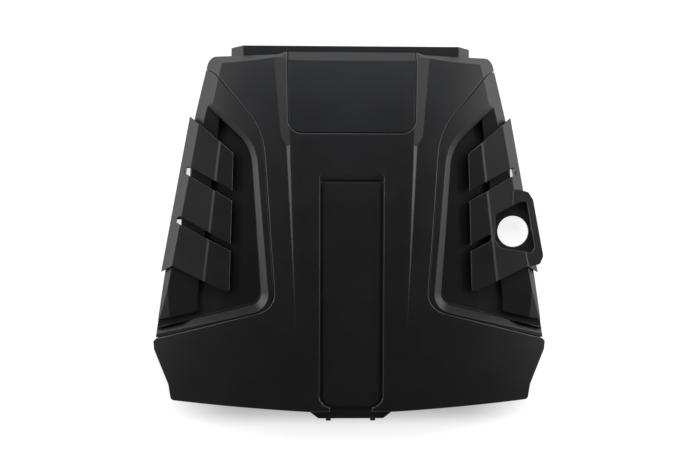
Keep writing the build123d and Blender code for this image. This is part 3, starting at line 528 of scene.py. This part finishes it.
@dataclass
class AcousticPad:
    """Soft foam pad under the middle of the shell, pressed thin along its rim."""

    name: str = "acoustic_foam"
    node: str = "acoustic_pad"
    step: float = 4 * MM
    inset: float = 0.4 * MM
    rim: float = 16 * MM
    rim_press: float = 0.45
    finish: FeltedFoam = FeltedFoam("pad_felted_foam")

    def build(self) -> bpy.types.Object:
        """Make the pad and put it in the solid's place.

        Returns:
            The pad.
        """
        low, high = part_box(self.node)
        middle = (low + high) / 2
        half = (high - low) / 2 - Vector((self.inset, self.inset, 0))
        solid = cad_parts[self.node].data
        corners = [vertex.co for vertex in solid.vertices]
        faces = [tuple(polygon.vertices) for polygon in solid.polygons]
        tree = BVHTree.FromPolygons(corners, faces)
        mesh = bmesh.new()
        bmesh.ops.create_grid(
            mesh,
            x_segments=round(2 * half.x / self.step),
            y_segments=round(2 * half.y / self.step),
            size=1.0,
        )
        bmesh.ops.scale(mesh, vec=(half.x, half.y, 1.0), verts=mesh.verts)
        bmesh.ops.translate(mesh, vec=(middle.x, middle.y, 0.0), verts=mesh.verts)
        cut = [face for face in mesh.faces if not self.covered(tree, face, high.z)]
        bmesh.ops.delete(mesh, geom=cut, context="FACES")
        extruded = bmesh.ops.extrude_face_region(mesh, geom=mesh.faces[:])["geom"]
        upper = {item for item in extruded if isinstance(item, bmesh.types.BMVert)}
        for vertex in mesh.verts:
            margin = min(half.x - abs(vertex.co.x - middle.x), half.y - abs(vertex.co.y - middle.y))
            press = self.rim_press * max(0.0, 1 - margin / self.rim) ** 2
            vertex.co.z = self.level(tree, vertex.co, vertex in upper, press, high.z, low.z)
        bmesh.ops.recalc_face_normals(mesh, faces=mesh.faces)
        pad = link_mesh(self.name, mesh)
        pad.data.shade_smooth()
        rounding = pad.modifiers.new("rounding", "SUBSURF")
        rounding.levels = 1
        rounding.render_levels = 1
        pad.data.materials.append(self.finish.material())
        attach(pad, "root")
        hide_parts(self.node)
        LOG.info("%s built with %d faces", self.name, len(pad.data.polygons))
        return pad

    def covered(self, tree: BVHTree, face: bmesh.types.BMFace, top: float) -> bool:
        """Tell whether the solid lies under all corners of a face.

        Args:
            tree: Faces of the solid pad.
            face: Face of the flat grid.
            top: Height of the solid's top.

        Returns:
            False over its cut-outs and beyond its rounded corners.
        """
        rays = (Vector((vertex.co.x, vertex.co.y, top + self.step)) for vertex in face.verts)
        return all(tree.ray_cast(start, Vector((0, 0, -1)))[0] for start in rays)

    def level(
        self, tree: BVHTree, place: Vector, upper: bool, press: float, top: float, bottom: float
    ) -> float:
        """Height of the pad's upper or lower skin.

        Args:
            tree: Faces of the solid pad.
            place: Position in plan.
            upper: True for the skin under the shell.
            press: Share of the thickness taken off the lower skin.
            top: Height above the solid.
            bottom: Height below the solid.

        Returns:
            The height in metres.
        """
        down = Vector((0, 0, -1))
        above = tree.ray_cast(Vector((place.x, place.y, top + self.step)), down)[0]
        beneath = tree.ray_cast(Vector((place.x, place.y, bottom - self.step)), -down)[0]
        roof = above.z if above else top
        sole = beneath.z if beneath else bottom
        return roof - self.inset if upper else sole + (roof - sole) * press + self.inset


@dataclass
class CollarShadeSill:
    """Thin dark sill under the right panel's floor that closes the seam beside the filler collar, standing
    in for the shade in that seam.
    """

    name: str = "collar_shade_sill"
    low: Vector = Vector((217.0, -14.0, 25.4)) * MM
    high: Vector = Vector((225.6, 0.0, 26.8)) * MM
    edge: float = 0.4 * MM
    edge_segments: int = 2
    # Colour far darker than the plastics: painted shade for the seam
    finish: MouldedPlastic = MouldedPlastic("sill_shade_black", colour=(0.003, 0.003, 0.003))

    def build(self) -> bpy.types.Object:
        """Make the sill and put it under the seam.

        Returns:
            The sill.
        """
        mesh = bmesh.new()
        bmesh.ops.create_cube(mesh, size=1.0)
        bmesh.ops.scale(mesh, vec=self.high - self.low, verts=mesh.verts)
        bmesh.ops.translate(mesh, vec=(self.high + self.low) / 2, verts=mesh.verts)
        bmesh.ops.bevel(
            mesh,
            geom=mesh.edges[:],
            offset=self.edge,
            affect="EDGES",
            segments=self.edge_segments,
            profile=0.5,
            material=-1,
        )
        sill = link_mesh(self.name, mesh)
        sill.data.materials.append(self.finish.material())
        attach(sill, "root")
        LOG.info("%s built with %d faces", self.name, len(sill.data.polygons))
        return sill


@dataclass
class Softbox:
    """One large lamp aimed at the cover."""

    name: str
    place: Vector
    width: float
    height: float
    watts: float
    tint: Colour = (1.0, 1.0, 1.0)

    def build(self, aim: Vector) -> None:
        """Add the lamp.

        Args:
            aim: Point that it faces.
        """
        data = bpy.data.lights.new(self.name, "AREA")
        data.shape = "RECTANGLE"
        data.size = self.width
        data.size_y = self.height
        data.energy = self.watts
        data.color = self.tint
        lamp = bpy.data.objects.new(self.name, data)
        lamp.location = self.place
        lamp.rotation_euler = (aim - self.place).to_track_quat("-Z", "Y").to_euler()
        lamp.visible_camera = False
        bpy.context.scene.collection.objects.link(lamp)
        LOG.info("%s placed", self.name)


@dataclass
class Studio:
    """Pale floor, softboxes and world of the picture."""

    floor_half: float = 6.0
    floor_colour: Colour = (0.6, 0.6, 0.6)
    floor_glow: float = 0.76
    shadow_reach: Span = (0.9, 1.8)
    # Painted shadow on the floor before the cover's front edge: its depth and reach
    painted_shadow_depth: float = 0.36
    painted_shadow_rear: Span = (0.12, 0.27)
    painted_shadow_front: Span = (0.28, 0.314)
    painted_shadow_side: Span = (0.17, 0.3)
    sky: float = 0.095
    walls: float = 0.4
    wall_top: float = 0.6
    aim: Vector = Vector((0.0, 0.0, 0.05))
    lamps: tuple[Softbox, ...] = (
        Softbox("softbox_left", Vector((-2.0, 0.45, 0.48)), 1.4, 0.6, 17.0),
        Softbox("softbox_right", Vector((2.0, 0.45, 0.48)), 1.4, 0.6, 17.0),
        Softbox("softbox_high_left", Vector((-1.5, 0.6, 1.35)), 1.2, 0.5, 6.5),
        Softbox("softbox_high_right", Vector((1.5, 0.6, 1.35)), 1.2, 0.5, 7.2),
        Softbox("softbox_rear", Vector((0.0, 1.8, 2.1)), 2.6, 0.9, 26.0, (0.93, 0.97, 1.06)),
    )

    def build(self) -> None:
        """Add floor, lamps and world."""
        self.lay_floor()
        for lamp in self.lamps:
            lamp.build(self.aim)
        self.light_world()

    def seen(self, graph: ShaderGraph) -> Wire:
        """Mask of the rays that look at the background, straight or through a reflection.

        Args:
            graph: Graph to add it to.

        Returns:
            1 for such rays.
        """
        camera = graph.node("ShaderNodeLightPath", {}, {}, "Is Camera Ray")
        glossy = graph.node("ShaderNodeLightPath", {}, {}, "Is Glossy Ray")
        through = graph.node("ShaderNodeLightPath", {}, {}, "Is Transmission Ray")
        return camera.at_least(glossy).at_least(through)

    def lay_floor(self) -> None:
        """Add the floor, lifted to white where it is seen lit, with a soft painted shadow before the
        cover.
        """
        mesh = bmesh.new()
        bmesh.ops.create_grid(mesh, x_segments=1, y_segments=1, size=self.floor_half)
        floor = link_mesh("studio_floor", mesh)
        made, graph = new_material("floor_paper")
        paper = graph.node("ShaderNodeBsdfDiffuse", {}, {"Color": (*self.floor_colour, 1.0)})
        place = graph.place()
        reach = graph.node("ShaderNodeVectorMath", {"operation": "LENGTH"}, {0: place}, "Value")
        far = reach.ramp(*self.shadow_reach)
        # Painted shadow: the floor's glow is lowered in a band before the cover's front edge, fading at
        # the sides
        forward = 0 - graph.axis(place, "Y")
        beside = abs(graph.axis(place, "X")).ramp(*self.painted_shadow_side)
        shade = forward.ramp(*self.painted_shadow_rear) * (1 - forward.ramp(*self.painted_shadow_front)) * (1 - beside)
        level = far * (1 - self.floor_glow) + self.floor_glow - shade * self.painted_shadow_depth
        glow = graph.node("ShaderNodeEmission", {}, {"Strength": self.seen(graph) * level})
        both = graph.node("ShaderNodeAddShader", {}, {0: paper, 1: glow})
        graph.node("ShaderNodeOutputMaterial", {}, {"Surface": both})
        floor.data.materials.append(made)
        LOG.info("studio_floor laid")

    def light_world(self) -> None:
        """White background for the camera, dim air and paler walls for the rest."""
        world = bpy.data.worlds.new("studio_air")
        world.use_nodes = True
        bpy.context.scene.world = world
        graph = ShaderGraph(world.node_tree)
        camera = graph.node("ShaderNodeLightPath", {}, {}, "Is Camera Ray")
        direction = graph.node("ShaderNodeTexCoord", {}, {}, "Generated")
        height = graph.axis(direction, "Z")
        walls = (1 - height).ramp(1 - self.wall_top, 1.0) * self.walls + self.sky
        strength = walls.at_least(camera)
        air = graph.node("ShaderNodeBackground", {}, {"Color": (1.0, 1.0, 1.0, 1.0), "Strength": strength})
        graph.node("ShaderNodeOutputWorld", {}, {"Surface": air})
        LOG.info("studio_air lit")


@dataclass
class PhotoCamera:
    """Camera above the cover, as the photograph was taken."""

    focal_px: float = 1172.0
    sensor: float = 36.0
    clip_end: float = 50.0
    distance: float = 1.850
    pivot: Vector = Vector((0.0, 0.0, 0.035))
    aside: float = 1.28 * MM
    lean: float = math.radians(2.05)
    roll: float = math.radians(-0.11)

    def build(self) -> None:
        """Add the camera and make it the scene's."""
        data = bpy.data.cameras.new("photo_camera")
        data.sensor_width = self.sensor
        data.lens = self.focal_px / PHOTO_WIDTH_PX * self.sensor
        data.clip_end = self.clip_end
        turn = Matrix.Rotation(self.roll, 3, "Z") @ Matrix.Rotation(self.lean, 3, "Y")
        back = turn.transposed()
        camera = bpy.data.objects.new("photo_camera", data)
        place = back @ Vector((-self.aside, 0.0, self.distance)) + self.pivot
        camera.matrix_world = Matrix.Translation(place) @ back.to_4x4()
        bpy.context.scene.collection.objects.link(camera)
        bpy.context.scene.camera = camera
        LOG.info("photo_camera placed")


def main() -> None:
    """Build the picture piece by piece."""
    logging.basicConfig(level=logging.INFO, format="%(name)s: %(message)s")
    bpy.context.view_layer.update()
    Mouldings().dress()
    AcousticPad().build()
    CollarShadeSill().build()
    Studio().build()
    PhotoCamera().build()
    bpy.context.scene.view_settings.view_transform = "Standard"


if __name__ == "__main__":
    main()
